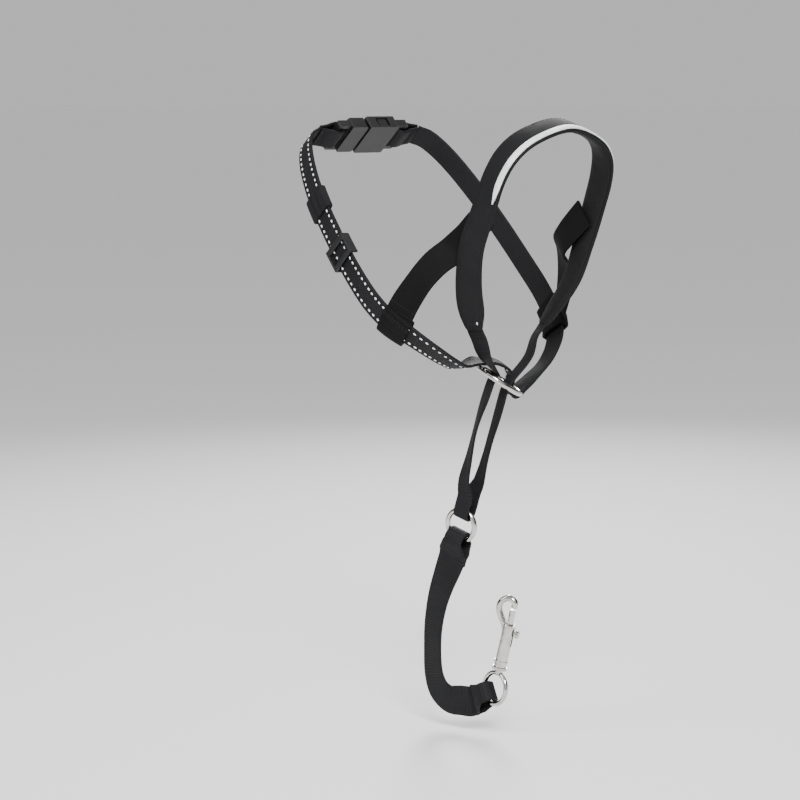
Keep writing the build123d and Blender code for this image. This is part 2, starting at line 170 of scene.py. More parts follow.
class Line:
    """A strap's middle line, sampled evenly: point, direction, width direction, normal."""

    def __init__(self, points, across, out):
        self.rows = (points, across, out)
        places = np.concatenate([spline(v, 12) for v in (points, across, out)], axis=1)
        gaps = np.linalg.norm(np.diff(places[:, :3], axis=0), axis=1)
        run = np.concatenate([[0.0], np.cumsum(gaps)])
        self.length = run[-1]
        self.s = np.linspace(0.0, self.length, max(8, int(round(self.length / STEP)) + 1))
        values = np.stack([np.interp(self.s, run, column) for column in places.T], axis=1)
        self.p = values[:, :3]
        self.t = unit(np.gradient(self.p, axis=0))
        self.width = np.linalg.norm(values[:, 3:6], axis=1)
        self.thick = np.linalg.norm(values[:, 6:9], axis=1)
        w = values[:, 3:6]
        self.w = unit(w - self.t * (w * self.t).sum(1)[:, None])
        self.n = unit(np.cross(self.w, self.t))
        if (self.n * values[:, 6:9]).sum() < 0:
            self.n = -self.n

    def part(self, start, end):
        """The stretch between two distances from the start."""
        keep = (self.s >= start) & (self.s <= end)
        piece = Line.__new__(Line)
        for key in ("s", "p", "t", "w", "n", "width", "thick"):
            setattr(piece, key, getattr(self, key)[keep].copy())
        piece.s = piece.s - piece.s[0]
        piece.length = piece.s[-1]
        return piece

    def at(self, s):
        """Index of the row at distance s."""
        return int(np.clip(np.searchsorted(self.s, s), 0, len(self.s) - 1))


def nearest_row(line, point):
    return int(np.argmin(np.linalg.norm(line.p - point, axis=1)))


def joined(line, other, at_end, count):
    """The line carried on through the first few rows of another, from one of its ends."""
    order = slice(None, None, -1) if at_end else slice(None)
    rows = []
    for own, far in zip(line.rows, other.rows):
        far = far[order][:count]
        if own is not line.rows[0] and own[-1] @ far[0] < 0:
            far = -far
        rows.append(np.vstack([own, far]))
    return Line(*rows)


def run_on(line, reach, at_start):
    """Draws a strap's end out along its own direction, to tuck it under its neighbour."""
    share = line.s if at_start else line.length - line.s
    grow = np.clip(1.0 - share / (2.0 * MM), 0.0, 1.0) * (-reach if at_start else reach)
    line.p = line.p + line.t * grow[:, None]


def unit(rows):
    return rows / np.maximum(np.linalg.norm(rows, axis=-1, keepdims=True), 1e-12)


def spline(values, count):
    """Catmull-Rom curve through rows of values, count samples to a span."""
    v = np.vstack([2 * values[0] - values[1], values, 2 * values[-1] - values[-2]])
    a, b, c, d = (v[k : len(v) - 3 + k][:, None, :] for k in range(4))
    t = (np.arange(count) / count)[None, :, None]
    body = 0.5 * (2 * b + (c - a) * t + (2 * a - 5 * b + 4 * c - d) * t**2)
    body = body + 0.5 * (3 * b - a - 3 * c + d) * t**3
    return np.vstack([body.reshape(-1, values.shape[1]), values[-1:]])


def strap_line(node, start, front, outward):
    """Line of a CAD strap. Its width points along front and its normal outward at the start."""
    lines = corner_chains(node, Vector(start) * MM)
    chains = np.array([[tuple(p) for p in chain] for chain in lines])
    centre = chains.mean(axis=0)
    first = (chains[0] + chains[1] - chains[2] - chains[3]) / 2.0
    second = (chains[1] + chains[2] - chains[3] - chains[0]) / 2.0
    across, out = first, second
    if np.linalg.norm(first[0]) <= np.linalg.norm(second[0]):
        across, out = second, first
    if across[0] @ np.array(front) < 0:
        across = -across
    if out[0] @ np.array(outward) < 0:
        out = -out
    return Line(centre, across, out)


STRAPS = {
    "noseband_shell": ((-27, 15, -44), (0, -1, 0), (-1, 0, 0)),
    "noseband_padding": ((-26, 15, -43), (0, -1, 0), (-1, 0, 0)),
    "noseband_piping": ((-44, -18, 29), (0, -1, 0), (-1, 0, 0)),
    "nose_webbing_right": ((-25, 16, -44), (0, -1, 0), (-1, 0, 0)),
    "nose_webbing_left": ((25, 16, -44), (0, -1, 0), (1, 0, 0)),
    "cheek_strap_right": ((-36, -7, 21), (0, 0, -1), (-1, 0, 0)),
    "cheek_strap_left": ((36, -7, 21), (0, 0, -1), (1, 0, 0)),
    "neck_strap": ((-67, 68, -20), (0, 1, -1), (-1, 0, 0)),
    "neck_strap_upper": ((-39, 146, 65), (0, 1, -1), (0, 1, 1)),
    "neck_strap_end": ((-38, 145.3, 64.2), (0, 1, -1), (0, -1, -1)),
    "neck_strap_anchor": ((38, 145.3, 64.2), (0, 1, -1), (0, -1, -1)),
    "pull_tails": ((-5.8, 21, -71.8), (0, -1, 0), (-1, 0, 0)),
    "safety_link": ((1, 65.2, -186.7), (0, -1, 0), (-1, 0, 0)),
}
lines = {node: strap_line(node, *hints) for node, hints in STRAPS.items()}


# ---- materials ----
def colour_ramp(tree, stops):
    """Ramp through (place, colour) stops; those after the second lie between the first two."""
    ramp = tree.nodes.new("ShaderNodeValToRGB")
    elements = ramp.color_ramp.elements
    for number, (place, colour) in enumerate(stops):
        stop = elements[number] if number < 2 else elements.new(place)
        stop.position = place
        stop.color = (*colour, 1.0)
    return ramp


class Finish:
    """A material whose patterns are built from maths on the strap's own coordinates."""

    def __init__(self, name, colour, roughness, metallic=0.0, sheen=0.0, gloss=0.5):
        self.material = bpy.data.materials.new(name)
        self.material.use_nodes = True
        self.tree = self.material.node_tree
        self.shader = self.tree.nodes["Principled BSDF"]
        values = {"Base Color": (*colour, 1.0), "Roughness": roughness, "Metallic": metallic}
        values |= {"Sheen Weight": sheen, "Sheen Roughness": 0.4, "Specular IOR Level": gloss}
        for key, value in values.items():
            self.shader.inputs[key].default_value = value

    def put(self, value, socket):
        """Joins a socket to a value: another socket or a number."""
        if isinstance(value, (int, float)):
            socket.default_value = value
        else:
            self.tree.links.new(value, socket)

    def maths(self, operation, a, b=0.0, c=0.0):
        node = self.tree.nodes.new("ShaderNodeMath")
        node.operation = operation
        for value, socket in zip((a, b, c), node.inputs):
            self.put(value, socket)
        return node.outputs[0]

    def across_along(self):
        """Distance across the strap and along it, both in millimetres."""
        uv = self.tree.nodes.new("ShaderNodeUVMap")
        split = self.tree.nodes.new("ShaderNodeSeparateXYZ")
        self.put(uv.outputs[0], split.inputs[0])
        return split.outputs[0], split.outputs[1]

    def noise(self, scale, detail=3.0, stretch=(1.0, 1.0, 1.0)):
        """Cloudy value from 0 to 1 in the object's own space."""
        place = self.tree.nodes.new("ShaderNodeTexCoord")
        mapping = self.tree.nodes.new("ShaderNodeMapping")
        mapping.inputs["Scale"].default_value = stretch
        cloud = self.tree.nodes.new("ShaderNodeTexNoise")
        cloud.inputs["Scale"].default_value = scale
        cloud.inputs["Detail"].default_value = detail
        self.put(place.outputs["Object"], mapping.inputs[0])
        self.put(mapping.outputs[0], cloud.inputs["Vector"])
        return cloud.outputs[0]

    def colours(self, value, dark, light, low, high):
        ramp = colour_ramp(self.tree, ((low, dark), (high, light)))
        self.put(value, ramp.inputs[0])
        self.put(ramp.outputs[0], self.shader.inputs["Base Color"])

    def roughen(self, value, low, high):
        spread = self.maths("MULTIPLY_ADD", value, high - low, low)
        self.put(spread, self.shader.inputs["Roughness"])

    def bump(self, height, depth, strength=1.0):
        """Relief of the given depth, in metres."""
        node = self.tree.nodes.new("ShaderNodeBump")
        node.inputs["Strength"].default_value = strength
        node.inputs["Distance"].default_value = depth
        self.put(height, node.inputs["Height"])
        self.put(node.outputs[0], self.shader.inputs["Normal"])

    def weave(self, column, pick, slant=0.0):
        """Height of woven yarns: columns side by side, each pick rising and falling."""
        across, along = self.across_along()
        cell = self.maths("DIVIDE", across, column)
        side = self.maths("FLOOR", cell)
        odd = self.maths("MODULO", self.maths("ABSOLUTE", side), 2.0)
        place = self.maths("FRACT", cell)
        rise = self.maths("DIVIDE", along, pick)
        tilt = self.maths("MULTIPLY", place, slant)
        sign = self.maths("MULTIPLY_ADD", odd, -2.0, 1.0)
        rise = self.maths("MULTIPLY_ADD", tilt, sign, rise)
        rise = self.maths("MULTIPLY_ADD", odd, 0.5, rise)
        round_side = self.maths("SINE", self.maths("MULTIPLY", place, math.pi))
        round_pick = self.maths("SINE", self.maths("MULTIPLY", self.maths("FRACT", rise), math.pi))
        return self.maths("MULTIPLY", round_side, round_pick)


def fabric(name, dark, light, yarns, depth, gloss=0.17):
    """Woven or knitted cloth with faint rubbed patches, a painted highlight on the yarn tops and painted
    shade between the yarns.
    yarns is the width of a column and the length of a pick, in millimetres, and the slant."""
    finish = Finish(name, dark, 0.8, gloss=gloss)
    yarn = finish.weave(*yarns)
    cloud = finish.noise(55.0, 4.0)
    fuzz = finish.noise(2400.0, 2.0)
    # The weave's height lightens the colour: painted highlight on the yarn tops and painted shade in the
    # hollows between yarns; the cloud gives the rubbed patches.
    patches_and_painted_yarn_shade = finish.maths("MULTIPLY_ADD", cloud, 0.55, finish.maths("MULTIPLY", yarn, 0.45))
    finish.colours(finish.maths("MULTIPLY_ADD", fuzz, 0.2, patches_and_painted_yarn_shade), dark, light, 0.25, 0.95)
    finish.roughen(cloud, 0.55, 0.8)
    finish.bump(finish.maths("MULTIPLY_ADD", fuzz, 0.35, yarn), depth)
    return finish.material


def metal(name, colour, roughness):
    """Plated metal with fine scratches and slight unevenness."""
    finish = Finish(name, colour, roughness[0], metallic=1.0)
    scratch = finish.noise(900.0, 2.0, (1.0, 1.0, 0.08))
    patch = finish.noise(140.0, 3.0)
    finish.roughen(finish.maths("MULTIPLY", scratch, patch), roughness[0], roughness[1])
    finish.colours(patch, [c * 0.7 for c in colour], colour, 0.3, 0.6)
    finish.bump(finish.maths("MULTIPLY_ADD", patch, 8.0, scratch), 0.04 * MM)
    return finish.material


def plastic(name, dark, light):
    """Moulded plastic with a fine spark-eroded grain."""
    finish = Finish(name, dark, 0.42, gloss=0.35)
    grain = finish.noise(5200.0, 2.0)
    wear = finish.noise(70.0, 4.0)
    finish.colours(wear, dark, light, 0.35, 0.8)
    finish.roughen(wear, 0.36, 0.56)
    finish.bump(grain, 0.03 * MM, 0.6)
    return finish.material


def reflective(name):
    """Pale reflective tape: a fine net of glass beads, slightly greyed."""
    finish = Finish(name, (0.78, 0.79, 0.80), 0.38, sheen=0.1)
    net = finish.weave(0.55, 0.55)
    cloud = finish.noise(90.0, 4.0)
    finish.colours(cloud, (0.60, 0.61, 0.63), (0.86, 0.87, 0.88), 0.25, 0.6)
    finish.roughen(cloud, 0.3, 0.5)
    finish.bump(net, 0.03 * MM, 0.7)
    return finish.material


BLACK = (0.0025, 0.0025, 0.003)
MATERIALS = {
    "band_fabric": fabric("band cloth", BLACK, (0.013, 0.013, 0.0145), (0.9, 0.9, 0.0), 0.07 * MM),
    "padding": fabric("band lining", BLACK, (0.010, 0.010, 0.011), (1.3, 1.3, 0.3), 0.10 * MM),
    "webbing": fabric(
        "webbing", (0.002, 0.002, 0.0025), (0.015, 0.015, 0.017), (0.95, 1.68, 0.4), 0.08 * MM
    ),
    "stretch_fabric": fabric(
        "stretch cloth", (0.0025, 0.002, 0.0025), (0.006, 0.0055, 0.006), (0.7, 0.5, 0.0), 0.04 * MM, 0.1
    ),
    "thread": fabric(
        "black thread", (0.004, 0.004, 0.005), (0.024, 0.024, 0.027), (0.3, 0.3, 1.0), 0.03 * MM
    ),
    "reflective": reflective("reflective tape"),
    "plastic": plastic("moulded plastic", (0.004, 0.004, 0.0045), (0.012, 0.012, 0.013)),
    "bright_steel": metal("bright nickel", (0.62, 0.60, 0.57), (0.06, 0.22)),
    "spring_steel": metal("spring wire", (0.56, 0.56, 0.57), (0.25, 0.45)),
}


# ---- making pieces ----
def finish_piece(obj, slot, body):
    """Gives a new piece its finish and lets it move with its body."""
    obj.data.materials.append(MATERIALS[slot])
    # Faces of many corners are cut ends, which stay flat.
    obj.data.polygons.foreach_set("use_smooth", [len(face.vertices) < 5 for face in obj.data.polygons])
    if body:
        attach(obj, body)
    return obj


def round_edges(obj, width, segments, angle):
    """Rounds the edges sharper than angle, in degrees."""
    modifier = obj.modifiers.new("soft edges", "BEVEL")
    modifier.width = width
    modifier.segments = segments
    modifier.limit_method = "ANGLE"
    modifier.angle_limit = math.radians(angle)


def mesh_piece(name, points, faces, uv=None):
    mesh = bpy.data.meshes.new(name)
    mesh.from_pydata([tuple(p) for p in points], [], [tuple(f) for f in faces])
    if uv is not None:
        layer = mesh.uv_layers.new(name="UVMap")
        corner = np.zeros(len(mesh.loops), np.int32)
        mesh.loops.foreach_get("vertex_index", corner)
        layer.data.foreach_set("uv", np.asarray(uv, np.float32)[corner].ravel())
    mesh.update()
    obj = bpy.data.objects.new(name, mesh)
    bpy.context.scene.collection.objects.link(obj)
    return obj


def grid_quads(index, flip=False):
    """Quads between the rows of a grid of point numbers, each row a closed ring."""
    a, b = index[:-1], np.roll(index[:-1], -1, axis=1)
    c, d = np.roll(index[1:], -1, axis=1), index[1:]
    return np.stack([a, d, c, b] if flip else [a, b, c, d], axis=-1).reshape(-1, 4).tolist()


def sweep(name, line, across, out):
    """Closed section, given as across and out per row and column, drawn along a line."""
    places = line.p[:, None] + line.w[:, None] * across[..., None] + line.n[:, None] * out[..., None]
    index = np.arange(across.size).reshape(across.shape)
    faces = grid_quads(index) + [index[0][::-1], index[-1]]
    along = np.broadcast_to(line.s[:, None], across.shape)
    uv = np.stack([across / MM, along / MM], axis=-1).reshape(-1, 2)
    return mesh_piece(name, places.reshape(-1, 3), faces, uv)


def flat_section(line, columns, edge, crown=0.0, dip=None, bead=0.0):
    """Section of a flat strap: edge is its corner radius as a share of half its thickness.
    crown swells the outer face, bead the two edges, and dip sinks whole rows."""
    half_w, half_t = line.width / 2.0, line.thick / 2.0
    sink = np.zeros_like(half_w) if dip is None else dip
    corner = half_t * edge
    across, out = [], []
    for side in (1.0, -1.0):
        for u in np.linspace(-1.0, 1.0, columns):
            swell = crown * (1.0 - u * u) if side > 0 else 0.0
            rim = bead * np.exp(-(((abs(u) - 0.86) / 0.09) ** 2))
            across.append(side * u * (half_w - corner))
            out.append(side * (half_t - sink + swell + rim))
        for angle in (60.0, 20.0, -20.0, -60.0):
            turn = math.radians(angle)
            across.append(side * (half_w - corner + corner * math.cos(turn)))
            out.append(side * ((half_t - sink * 0.5) * math.sin(turn)))
    return np.stack(across, axis=1), np.stack(out, axis=1)


def ribs(line, depth):
    """Cross ribs: how far each row of a webbing lies under its highest rows."""
    return depth * (0.5 - 0.5 * np.cos(2.0 * math.pi * line.s / RIB_PITCH))


def webbing(name, line, columns, body=None):
    """Flat ribbed webbing; without a body it is left unattached."""
    across, out = flat_section(line, columns, 0.85, dip=ribs(line, RIB_DEPTH), bead=0.04 * MM)
    return finish_piece(sweep(name, line, across, out), "webbing", body)


def bead_shape(length, width, height):
    """Points and faces of one rounded stitch lying along X, its top towards Z."""
    rings, sides = 5, 8
    points = [(-length / 2.0, 0.0, 0.0)]
    for i in range(1, rings + 1):
        x = -math.cos(math.pi * i / (rings + 1))
        swell = (1.0 - abs(x) ** 3) ** 0.5
        for k in range(sides):
            turn = 2.0 * math.pi * k / sides
            y = width / 2.0 * swell * math.cos(turn)
            points.append((x * length / 2.0, y, height / 2.0 * swell * math.sin(turn)))
    points.append((length / 2.0, 0.0, 0.0))
    faces = []
    for k in range(sides):
        m = (k + 1) % sides
        faces.append((0, 1 + m, 1 + k))
        faces.append((len(points) - 1, 1 + (rings - 1) * sides + k, 1 + (rings - 1) * sides + m))
        for i in range(rings - 1):
            a, b = 1 + i * sides, 1 + (i + 1) * sides
            faces.append((a + k, a + m, b + m, b + k))
    return np.array(points), faces


def stitches(name, places, size, slot, body):
    """Rounded stitches in one piece; a place is (point, direction, outward)."""
    shape, shape_faces = bead_shape(*size)
    points, faces, uv = [], [], []
    for point, way, out in places:
        way = unit(way - out * (way @ out))
        side = np.cross(out, way)
        first = len(points)
        points += list(point + shape @ np.array([way, side, out]))
        uv += [(p[1] / MM, p[0] / MM) for p in shape]
        faces += [tuple(i + first for i in face) for face in shape_faces]
    return finish_piece(mesh_piece(name, points, faces, uv), slot, body)


def row_places(line, across, pitch, lift, start=None, end=None):
    """Stitch places in a row along a line; across is in metres from its middle."""
    places = []
    s = line.s[0] + (pitch / 2.0 if start is None else start)
    last = line.s[-1] - pitch / 2.0 if end is None else end
    while s <= last:
        i = line.at(s)
        point = line.p[i] + line.w[i] * across + line.n[i] * (line.thick[i] / 2.0 + lift)
        places.append((point, line.t[i], line.n[i]))
        s += pitch
    return places


def edge_rows(line, share, pitch, start, end):
    """Two rows of stitches, at a share of the strap's half width to either side of its middle."""
    places = []
    for across in (-share, share):
        for point, way, out in row_places(line, 0.0, pitch, 0.02 * MM, start, end):
            row = nearest_row(line, point)
            places.append((point + line.w[row] * across * line.width[row] / 2.0, way, out))
    return places


def tack_places(line, s, half_width, lift, rows, count, side=1.0):
    """Bar tack across a strap: close rows of short stitches. A side of -1 is its inner face."""
    places = []
    for row in range(rows):
        i = line.at(s + (row - (rows - 1) / 2.0) * TACK_GAP)
        out = line.n[i] * side
        for across in np.linspace(-half_width, half_width, count):
            point = line.p[i] + line.w[i] * across + out * (line.thick[i] / 2.0 + lift)
            places.append((point, line.w[i] + line.t[i] * 0.15, out))
    return places


# ---- noseband ----
BAND_END = 3.0 * MM         # length over which the noseband's ends narrow
CLOTH_T = 0.75 * MM         # radius of the cover's turned edge
TACK = (1.7 * MM, 0.5 * MM, 0.36 * MM)
SMALL_TACK = (1.5 * MM, 0.4 * MM, 0.34 * MM)


def crowned(u, height):
    return height * (1.0 - abs(u) ** 2.4)


def end_shape(line, reach):
    """1 along most of a band, falling in a quarter round over reach at both ends."""
    edge = np.clip(np.minimum(line.s, line.length - line.s) / reach, 0.0, 1.0)
    return np.sqrt(1.0 - (1.0 - edge) ** 2)


def band_half_width(line):
    return line.width / 2.0 * (0.72 + 0.28 * end_shape(line, BAND_END))


def section_rows(across, out):
    """Across and out of every point of a section, one row for each row of the line."""
    across = np.stack(np.broadcast_arrays(*across), axis=1)
    return across, np.stack(np.broadcast_arrays(*out), axis=1)


def turned_edge(half_w, half_t, side):
    """The cover's edge, turned down over the padding: distance across and outward per angle."""
    drop = 0.9 * MM
    across, out = [], []
    for angle in (35.0, 0.0, -35.0, -70.0):
        turn = math.radians(angle)
        across.append(side * (half_w - CLOTH_T + CLOTH_T * math.cos(turn)))
        out.append(half_t - 0.9 * MM + CLOTH_T * math.sin(turn) - drop * (35.0 - angle) / 160.0)
    return across, out


def make_cover():
    """Outer cloth: swells over the padding and turns down over its edges."""
    line = lines["noseband_shell"]
    half_w = band_half_width(line)
    half_t = line.thick / 2.0
    wrinkle = 0.05 * MM * np.sin(line.s / (3.7 * MM)) * np.sin(line.s / (11.3 * MM))
    full = np.clip(np.minimum(line.s, line.length - line.s) / (16.0 * MM), 0.0, 1.0)
    across, out = [], []
    for u in np.linspace(-0.94, 0.94, 19):
        seam = -0.16 * MM * math.exp(-(((abs(u) - 0.80) / 0.045) ** 2))
        swell = crowned(u / 0.94, 0.75 * MM) - 0.35 * MM
        across.append(u * half_w)
        out.append(half_t + (swell + seam) * full + wrinkle * (1.0 - u * u))
    front, back = turned_edge(half_w, half_t, 1.0), turned_edge(half_w, half_t, -1.0)
    across += front[0]
    out += front[1]
    for u in np.linspace(0.90, -0.90, 11):
        across.append(u * half_w)
        out.append(-half_t + crowned(u, 0.12 * MM) - 0.3 * MM * abs(u) ** 6)
    across += back[0][::-1]
    out += back[1][::-1]
    cover = sweep("noseband_cover", line, *section_rows(across, out))
    finish_piece(cover, "band_fabric", "headpiece")
    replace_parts(cover, "noseband_shell")


def make_lining():
    """Soft padding behind the cover: full along its middle, thin at its edges."""
    line = lines["noseband_padding"]
    half_w = band_half_width(line)
    half_t = line.thick / 2.0
    quilt = 0.08 * MM * np.cos(2.0 * math.pi * line.s / (9.0 * MM))
    across, out = [], []
    for u in np.linspace(-1.0, 1.0, 11):
        across.append(u * (half_w - 0.3 * MM))
        out.append(half_t - 0.05 * MM)
    across.append(half_w)
    out.append(half_t - 0.45 * MM)
    for u in np.linspace(1.0, -1.0, 21):
        fall = 1.0 - abs(u) ** 3.2
        across.append(u * (half_w - 0.25 * MM))
        out.append(half_t - 0.9 * MM - fall * (2.0 * half_t - 0.9 * MM) + quilt * fall)
    across.append(-half_w)
    out.append(half_t - 0.45 * MM)
    lining = sweep("noseband_lining", line, *section_rows(across, out))
    finish_piece(lining, "padding", "headpiece")
    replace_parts(lining, "noseband_padding")


def make_piping():
    """Pale raised stripe whose ends run out to a point near the front edge."""
    line = lines["noseband_piping"]
    near_end = np.minimum(line.s, line.length - line.s) / (12.0 * MM)
    ends = np.sin(np.clip(near_end, 0.0, 1.0) * math.pi / 2.0)
    half_w = line.width / 2.0
    front = half_w * (0.25 + 0.75 * ends)
    back = half_w * (0.08 - 1.08 * ends)
    across, out = [], []
    for u in np.linspace(-1.0, 1.0, 9):
        dome = math.sqrt(max(0.0, 1.0 - abs(u) ** 3))
        across.append((front + back) / 2.0 + u * (front - back) / 2.0)
        out.append((-0.15 + 0.62 * dome) * MM * (0.55 + 0.45 * ends))
    for u in np.linspace(1.0, -1.0, 5):
        across.append((front + back) / 2.0 + u * (front - back) / 2.0)
        out.append(-0.65 * MM)
    stripe = sweep("noseband_stripe", line, *section_rows(across, out))
    finish_piece(stripe, "reflective", "headpiece")
    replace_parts(stripe, "noseband_piping")


def sew_noseband():
    """Seam rows along both edges, bar tacks at the ends and one pale stitch."""
    shell = lines["noseband_shell"]
    seams = edge_rows(shell, 0.80, 2.6 * MM, 10.0 * MM, shell.length - 10.0 * MM)
    stitches("noseband_stitches", seams, (1.9 * MM, 0.34 * MM, 0.3 * MM), "thread", "headpiece")
    ends = []
    for s in (3.0 * MM, shell.length - 3.0 * MM):
        ends += tack_places(shell, s, 3.6 * MM, 0.08 * MM, rows=4, count=6)
    stitches("noseband_end_tacks", ends, (1.5 * MM, 0.5 * MM, 0.35 * MM), "thread", "headpiece")
    mark = row_places(shell, 3.4 * MM, 6.0 * MM, 0.12 * MM, 5.6 * MM, 6.0 * MM)
    size = (2.2 * MM, 0.9 * MM, 0.5 * MM)
    stitches("noseband_white_stitch", mark, size, "reflective", "headpiece")


make_cover()
make_lining()
make_piping()
sew_noseband()


# ---- narrow webbing: nose loop and tails ----
TUCK = (6.0 * MM, 0.95 * MM)    # length and depth of the bend that lies on the noseband's end
STRETCH = 5.5 * MM          # length back from the end of each nose strap


def make_nose_strap(side):
    """Webbing from the noseband's end to the tails, which draw it through the ring."""
    node = f"nose_webbing_{side}"
    end = lines[node].length
    line = joined(lines[node], lines["pull_tails"], side == "left", 3)
    line.thick = line.thick * 0.94
    run_on(line, 3.0 * MM, at_start=True)
    tuck = np.clip(1.0 - line.s / TUCK[0], 0.0, 1.0)
    line.p = line.p + line.n * (tuck * TUCK[1])[:, None]
    strap = webbing(f"nose_strap_{side}", line, 9)
    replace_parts(strap, node)
    still, pulled = line.p[line.at(end - STRETCH)], line.p[line.at(end)]
    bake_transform(strap)


make_nose_strap("right")
make_nose_strap("left")
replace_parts(webbing("tail_straps", lines["pull_tails"], 9, "tails"), "pull_tails")


# ---- cheek straps and their folds ----
FOLD_REACH = 22.0 * MM      # length over which a cheek strap bends into its fold
FOLD_DEPTH = 2.2 * MM       # how far its end lies inside the fold's edge
BAND_WALL = 1.1 * MM        # thickness of the folds and of the keeper
neck = lines["neck_strap"]
upper = lines["neck_strap_upper"]


def turn_into_fold(line, node):
    """Bends the last stretch of a strap so that its end lies flat in the edge of its fold."""
    corners = node_points(node)
    row = nearest_row(neck, corners.mean(axis=0))
    side = math.copysign(1.0, (line.p[-1] - neck.p[row]) @ neck.w[row])
    edge = np.abs((corners - neck.p[row]) @ neck.w[row]).max() - FOLD_DEPTH
    goal = neck.p[row] + neck.w[row] * side * edge
    along = neck.t[row] * math.copysign(1.0, line.w[-1] @ neck.t[row])
    share = np.clip((line.s - line.length) / FOLD_REACH + 1.0, 0.0, 1.0)[:, None]
    share = share * share * (3.0 - 2.0 * share)
    line.p = line.p + share * (goal - line.p[-1])
    line.w = unit(line.w + share * (along - line.w[-1]))
    line.t = unit(np.gradient(line.p, axis=0))
    line.w = unit(line.w - line.t * (line.w * line.t).sum(1)[:, None])
    normal = unit(np.cross(line.w, line.t))
    line.n = normal * np.sign((normal * line.n).sum(1))[:, None]


def make_cheek(side):
    """Smooth stretch strap with soft edges, sewn under the noseband."""
    node = f"cheek_strap_{side}"
    line = lines[node]
    across, out = flat_section(line, 13, 0.9, crown=-0.25 * MM, bead=0.05 * MM)
    turn_into_fold(line, f"cheek_sleeve_{side}")
    strap = finish_piece(sweep(f"cheek_{side}", line, across, out), "stretch_fabric", "headpiece")
    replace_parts(strap, node)
    rows = []
    for s in (line.length - 2.2 * MM, line.length - 5.6 * MM):
        rows += tack_places(line, s, 7.4 * MM, -0.12 * MM, rows=1, count=8)
        rows += tack_places(line, s, 7.4 * MM, -0.02 * MM, rows=1, count=8, side=-1.0)
    stitches(f"cheek_stitches_{side}", rows, (1.6 * MM, 0.4 * MM, 0.34 * MM), "thread", "headpiece")


def band_round(line, node, wall):
    """Stretch of a strap under a band that wraps it, and the band's outer and inner sections."""
    corners = node_points(node)
    centre = nearest_row(line, corners.mean(axis=0))
    local = corners - line.p[centre]
    half_l, half_w, half_t = (np.abs(local @ way[centre]).max() for way in (line.t, line.w, line.n))
    first, last = line.at(line.s[centre] - half_l), line.at(line.s[centre] + half_l)
    stretch = line.part(line.s[first], line.s[last])
    edge = np.minimum(stretch.s, stretch.length - stretch.s)
    soft = 0.35 * MM * (1.0 - np.clip(edge / (0.5 * MM), 0.0, 1.0)) ** 2
    across, out, inner = [], [], []
    sides = 36
    for k in range(sides):
        turn = 2.0 * math.pi * k / sides
        x = math.copysign(abs(math.cos(turn)) ** 0.35, math.cos(turn))
        y = math.copysign(abs(math.sin(turn)) ** 0.5, math.sin(turn))
        size = math.hypot(x, y)
        across.append(x * half_w - soft * x / size)
        out.append(y * half_t - soft * y / size)
        inner.append((x * (half_w - wall), y * (half_t - wall)))
    return stretch, np.stack(across, 1), np.stack(out, 1), np.array(inner)


def tube(name, node, line, slot):
    """Band round a strap as one closed skin, outside and inside."""
    stretch, across, out, inner = band_round(line, node, BAND_WALL)
    middle, w, n = stretch.p[:, None], stretch.w[:, None], stretch.n[:, None]
    outside = middle + w * across[..., None] + n * out[..., None]
    inside = middle + w * inner[None, :, :1] + n * inner[None, :, 1:]
    points = np.concatenate([outside.reshape(-1, 3), inside.reshape(-1, 3)])
    index = np.arange(across.size).reshape(across.shape)
    under = index + across.size
    faces = grid_quads(index) + grid_quads(under, flip=True)
    for row, flip in ((0, False), (-1, True)):
        faces += grid_quads(np.stack([index[row], under[row]]), flip)
    turn = np.arange(across.shape[1]) * 0.9
    uv = np.stack(np.broadcast_arrays(turn[None, :], stretch.s[:, None] / MM), axis=-1).reshape(-1, 2)
    skin = mesh_piece(name, points, faces, np.concatenate([uv, uv]))
    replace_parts(finish_piece(skin, slot, "headpiece"), node)
    return stretch, out


def make_cheek_fold(side):
    """End of the stretch strap, folded round the neck strap and sewn along its edge."""
    name = f"cheek_fold_{side}"
    stretch, out = tube(name, f"cheek_sleeve_{side}", neck, "stretch_fabric")
    stretch.thick = np.full_like(stretch.thick, 2.0 * np.abs(out).max())
    rows = []
    for across in (-6.4 * MM, -4.9 * MM):
        rows += row_places(stretch, across, 2.0 * MM, -0.05 * MM)
    stitches(f"cheek_fold_stitches_{side}", rows, SMALL_TACK, "thread", "headpiece")


make_cheek("right")
make_cheek("left")
make_cheek_fold("right")
make_cheek_fold("left")
tube("keeper_loop", "strap_keeper", upper, "webbing")


# ---- strap slider ----
def block_mesh(name, cells, cuts, line):
    """Closed skin of the filled cells of a grid laid along a line; cuts are its planes in metres."""
    index, points, faces = {}, [], []

    def corner(i, j, k):
        if (i, j, k) not in index:
            row = line.at(cuts[1][j])
            index[(i, j, k)] = len(points)
            points.append(line.p[row] + line.w[row] * cuts[0][i] + line.n[row] * cuts[2][k])
        return index[(i, j, k)]

    for cell in cells:
        for axis in range(3):
            for side in (0, 1):
                beyond = list(cell)
                beyond[axis] += 2 * side - 1
                if tuple(beyond) in cells:
                    continue
                ring = []
                for u, v in ((0, 0), (1, 0), (1, 1), (0, 1)):
                    at = list(cell)
                    at[axis] += side
                    at[(axis + 1) % 3] += u
                    at[(axis + 2) % 3] += v
                    ring.append(corner(*at))
                faces.append(ring if side else ring[::-1])
    return mesh_piece(name, points, faces)


